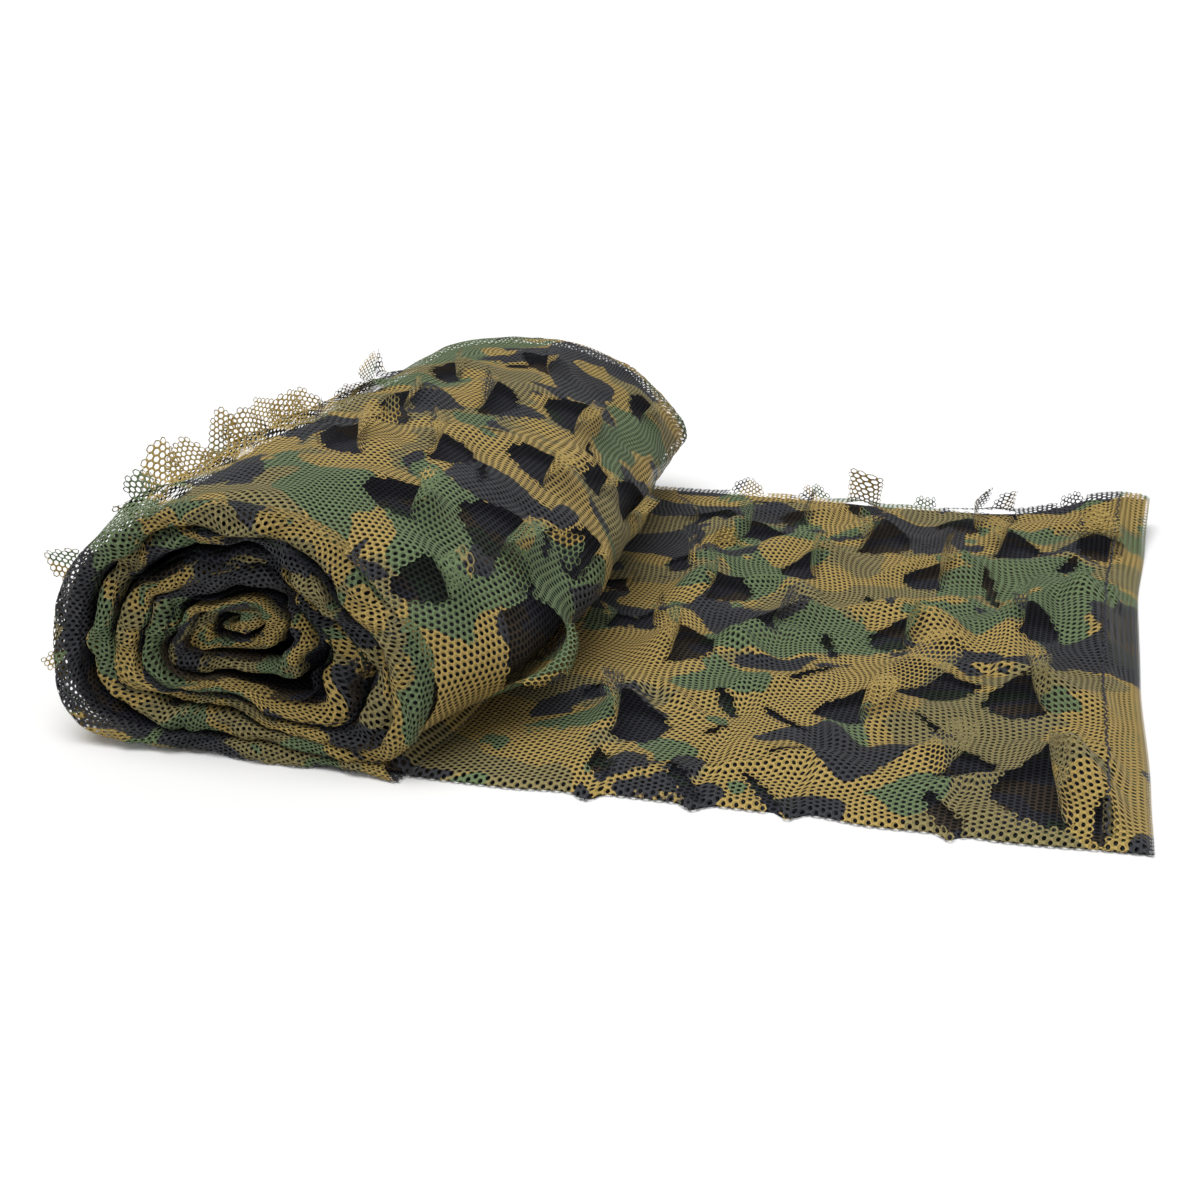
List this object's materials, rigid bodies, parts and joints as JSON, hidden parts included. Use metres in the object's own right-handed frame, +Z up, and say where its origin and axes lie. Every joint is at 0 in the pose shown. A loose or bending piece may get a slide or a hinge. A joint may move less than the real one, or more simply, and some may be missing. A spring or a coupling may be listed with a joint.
{
  "type": "camouflage net",
  "caption": "Woodland camouflage net with curled leaf cuts on a dark backing net, folded lengthwise, rolled up and partly unrolled.",
  "frame": {"origin": "middle of the footprint, on the surface that the net lies on", "axes": "+X from the roll towards the loose end's hem, +Y along the roll away from the viewer, +Z up"},
  "size_m": [0.5189, 0.5187, 0.1396],
  "materials": {
    "printed_leaf_net": "matt knitted mesh, printed in woodland colours",
    "backing_net": "matt knitted mesh, dark",
    "rolled_nets": "matt knitted mesh, both nets wound together"
  },
  "bodies": {
    "root": {"rolled_net": "rolled_nets", "leaf_net_roll": "printed_leaf_net", "leaf_net_loose_end": "printed_leaf_net", "backing_net_loose_end": "backing_net"}
  },
  "joints": []
}
